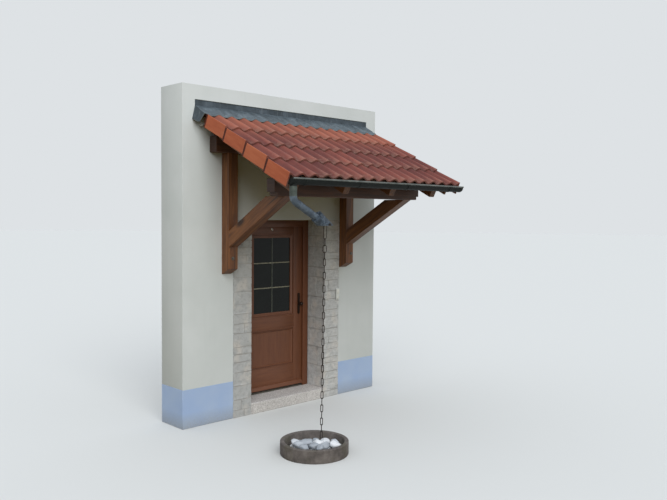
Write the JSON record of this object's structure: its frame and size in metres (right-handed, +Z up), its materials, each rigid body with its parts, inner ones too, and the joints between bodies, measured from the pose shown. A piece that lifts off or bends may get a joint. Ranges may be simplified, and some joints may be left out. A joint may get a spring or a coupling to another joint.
{
  "type": "entrance porch canopy with front door",
  "caption": "Tiled lean-to canopy on timber brackets over a recessed front door, with gutter, spout, rain chain and basin, on a slice of house wall.",
  "frame": {"origin": "on the ground line, in the middle of the doorway, at the outer face of the wall", "axes": "+X along the wall to the right seen from outside, +Y into the house, +Z up"},
  "size_m": [2.804, 2.145, 3.4809],
  "materials": {
    "render": "matte mineral render",
    "plinth_paint": "matte pale blue masonry paint",
    "cast_stone": "worn cast stone",
    "facing_stone": "honed limestone facing",
    "door_wood": "satin red-brown stain",
    "sill_metal": "dull",
    "dark_iron": "dark bronze lacquer",
    "brown_timber": "brown wood stain",
    "raw_timber": "rough sawn",
    "roof_clay": "weathered clay",
    "verge_clay": "clay, little weathered",
    "sheet_metal": "weathered grey sheet",
    "rusty_iron": "rusty",
    "dark_concrete": "damp concrete",
    "pebble": "smooth river pebble",
    "bell_metal": "pale satin",
    "pane_glass": "clear, dark room behind",
    "bar_metal": "dull pale brass"
  },
  "bodies": {
    "porch": {"wall_left": "render", "wall_right": "render", "wall_over_door": "render", "plinth": "plinth_paint", "doorstep": "cast_stone", "jamb_stone_left": "facing_stone", "jamb_stone_right": "facing_stone", "door_frame": "door_wood", "door_sill": "sill_metal", "frame_hinges": "dark_iron", "post_left": "brown_timber", "post_right": "brown_timber", "brace_left": "brown_timber", "brace_right": "brown_timber", "wall_purlin": "brown_timber", "front_purlin": "brown_timber", "rafters": "brown_timber", "roof_boards": "brown_timber", "verge_boards": "brown_timber", "eave_board": "brown_timber", "roof_battens": "raw_timber", "tile_course_1": "roof_clay", "tile_course_2": "roof_clay", "tile_course_3": "roof_clay", "tile_course_4": "roof_clay", "verge_tiles_left": "verge_clay", "verge_tiles_right": "verge_clay", "wall_flashing": "sheet_metal", "gutter": "sheet_metal", "gutter_brackets": "sheet_metal", "gutter_outlet": "sheet_metal", "spout_pipe": "sheet_metal", "rain_chain": "rusty_iron", "basin_ring": "dark_concrete", "basin_stones": "pebble", "doorbell": "bell_metal"},
    "door_leaf": {"leaf_frame": "door_wood", "door_glass": "pane_glass", "glass_bars": "bar_metal", "door_panel": "door_wood", "leaf_mouldings": "door_wood", "weather_bar": "door_wood", "door_handles": "dark_iron", "leaf_hinges": "dark_iron"}
  },
  "joints": [
    {"name": "door_hinge", "type": "hinge", "parent": "porch", "child": "door_leaf", "pos_m": [-0.463, 0.368, 1.12], "axis": [0, 0, 1], "range_deg": [0, 95]}
  ]
}
